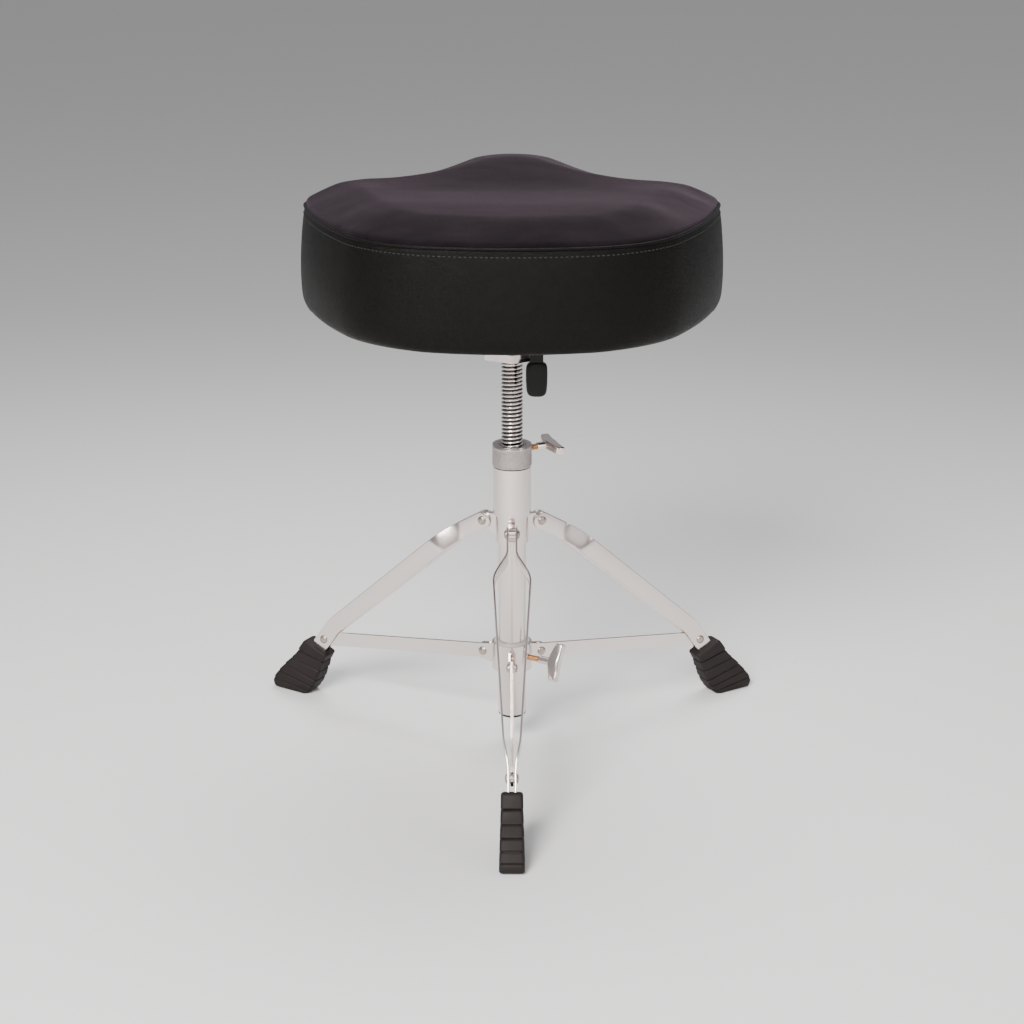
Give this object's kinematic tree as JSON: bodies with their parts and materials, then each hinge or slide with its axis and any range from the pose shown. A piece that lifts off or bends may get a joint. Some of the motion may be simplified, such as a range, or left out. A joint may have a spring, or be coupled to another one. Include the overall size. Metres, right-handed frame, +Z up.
{
  "type": "drum throne",
  "caption": "Height-adjustable saddle seat for a drummer on a threaded column, over a double-braced tripod that folds flat.",
  "frame": {"origin": "on the floor plane, on the column's axis", "axes": "+Z up along the column, +Y towards the seat's nose, the front leg along -Y"},
  "size_m": [0.536, 0.4745, 0.5962],
  "materials": {
    "chrome": "mirror polished",
    "collar": "fine satin knurl",
    "rivet": "dull domed heads",
    "stud": "passivated thread",
    "steel": "zinc plated",
    "nylon": "satin",
    "black_plastic": "moulded",
    "rubber": "matt moulded",
    "board": "plywood",
    "foam": "upholstery foam",
    "velour": "short pile",
    "vinyl": "pebble grain",
    "cloth": "woven dust cover"
  },
  "bodies": {
    "base": {"lower_tube": "chrome", "tube_end_plug": "black_plastic", "upper_sleeve": "chrome", "sleeve_bush": "nylon", "spindle_guide": "nylon", "collar_washer": "nylon", "upper_hub": "chrome", "leg_pivot_rivets": "rivet"},
    "spindle": {"threaded_spindle": "chrome", "spindle_stop": "steel"},
    "lock_collar": {"lock_collar": "collar"},
    "collar_bolt": {"collar_bolt_stud": "stud", "collar_bolt_wing": "chrome"},
    "lower_hub": {"lower_hub": "chrome", "lower_hub_bush": "nylon", "brace_pivot_rivets": "rivet"},
    "hub_bolt": {"hub_bolt_stud": "stud", "hub_bolt_wing": "chrome"},
    "front_leg": {"front_strap_left": "chrome", "front_strap_right": "chrome", "front_tie_rivet": "rivet", "front_foot": "rubber"},
    "front_brace": {"front_brace": "chrome", "front_brace_bush": "steel"},
    "back_right_leg": {"back_right_strap_left": "chrome", "back_right_strap_right": "chrome", "back_right_tie_rivet": "rivet", "back_right_foot": "rubber"},
    "back_right_brace": {"back_right_brace": "chrome", "back_right_brace_bush": "steel"},
    "back_left_leg": {"back_left_strap_left": "chrome", "back_left_strap_right": "chrome", "back_left_tie_rivet": "rivet", "back_left_foot": "rubber"},
    "back_left_brace": {"back_left_brace": "chrome", "back_left_brace_bush": "steel"},
    "seat": {"seat_bracket": "chrome", "bracket_bolts": "steel", "tee_nuts": "steel", "clamp_screw": "steel", "seat_board": "board", "bottom_cloth": "cloth", "seat_foam": "foam", "seat_top_cover": "velour", "seat_side_band": "vinyl", "seam_piping": "vinyl"},
    "clamp_lever": {"lever_neck": "black_plastic", "lever_grip": "black_plastic"}
  },
  "joints": [
    {"name": "front_leg_fold", "type": "hinge", "parent": "base", "child": "front_leg", "pos_m": [0, -0.0326, 0.2398], "axis": [1, 0, 0], "range_deg": [0, 46]},
    {"name": "back_right_leg_fold", "type": "hinge", "parent": "base", "child": "back_right_leg", "pos_m": [0.02823, 0.0163, 0.2398], "axis": [-0.5, 0.866, 0], "range_deg": [0, 46]},
    {"name": "back_left_leg_fold", "type": "hinge", "parent": "base", "child": "back_left_leg", "pos_m": [-0.02823, 0.0163, 0.2398], "axis": [-0.5, -0.866, 0], "range_deg": [0, 46]},
    {"name": "hub_slide", "type": "slide", "parent": "base", "child": "lower_hub", "axis": [0, 0, 1], "range_m": [0, 0.0828]},
    {"name": "front_brace_fold", "type": "hinge", "parent": "lower_hub", "child": "front_brace", "pos_m": [0, -0.0337, 0.0948], "axis": [1, 0, 0], "range_deg": [0, 78.2]},
    {"name": "back_right_brace_fold", "type": "hinge", "parent": "lower_hub", "child": "back_right_brace", "pos_m": [0.02919, 0.01685, 0.0948], "axis": [-0.5, 0.866, 0], "range_deg": [0, 78.2]},
    {"name": "back_left_brace_fold", "type": "hinge", "parent": "lower_hub", "child": "back_left_brace", "pos_m": [-0.02919, 0.01685, 0.0948], "axis": [-0.5, -0.866, 0], "range_deg": [0, 78.2]},
    {"name": "hub_bolt_turn", "type": "hinge", "parent": "lower_hub", "child": "hub_bolt", "pos_m": [0, 0, 0.097], "axis": [0.8829, -0.4695, 0], "range_deg": [0, 720]},
    {"name": "collar_turn", "type": "hinge", "parent": "base", "child": "lock_collar", "pos_m": [0, 0, 0.314], "axis": [0, 0, 1], "range_deg": [-5410, 2890]},
    {"name": "height_slide", "type": "slide", "parent": "base", "child": "spindle", "axis": [0, 0, 1], "range_m": [-0.032, 0.06]},
    {"name": "collar_bolt_turn", "type": "hinge", "parent": "lock_collar", "child": "collar_bolt", "pos_m": [0, 0, 0.319], "axis": [0.9063, 0.4226, 0], "range_deg": [0, 720]},
    {"name": "seat_swivel", "type": "hinge", "parent": "spindle", "child": "seat", "pos_m": [0, 0, 0.45], "axis": [0, 0, 1], "continuous": true},
    {"name": "clamp_lever_turn", "type": "hinge", "parent": "seat", "child": "clamp_lever", "pos_m": [0.0243, -0.028, 0.437], "axis": [0, -1, 0], "range_deg": [0, 90]}
  ],
  "couplings": [
    {"joint": "back_right_leg_fold", "follows": "front_leg_fold", "ratio": 1},
    {"joint": "back_left_leg_fold", "follows": "front_leg_fold", "ratio": 1},
    {"joint": "hub_slide", "follows": "front_leg_fold", "m_per_rad": 0.10258},
    {"joint": "front_brace_fold", "follows": "front_leg_fold", "ratio": 1.6894},
    {"joint": "back_right_brace_fold", "follows": "front_leg_fold", "ratio": 1.6894},
    {"joint": "back_left_brace_fold", "follows": "front_leg_fold", "ratio": 1.6894},
    {"joint": "collar_turn", "follows": "height_slide", "rad_per_m": -1570.8}
  ]
}
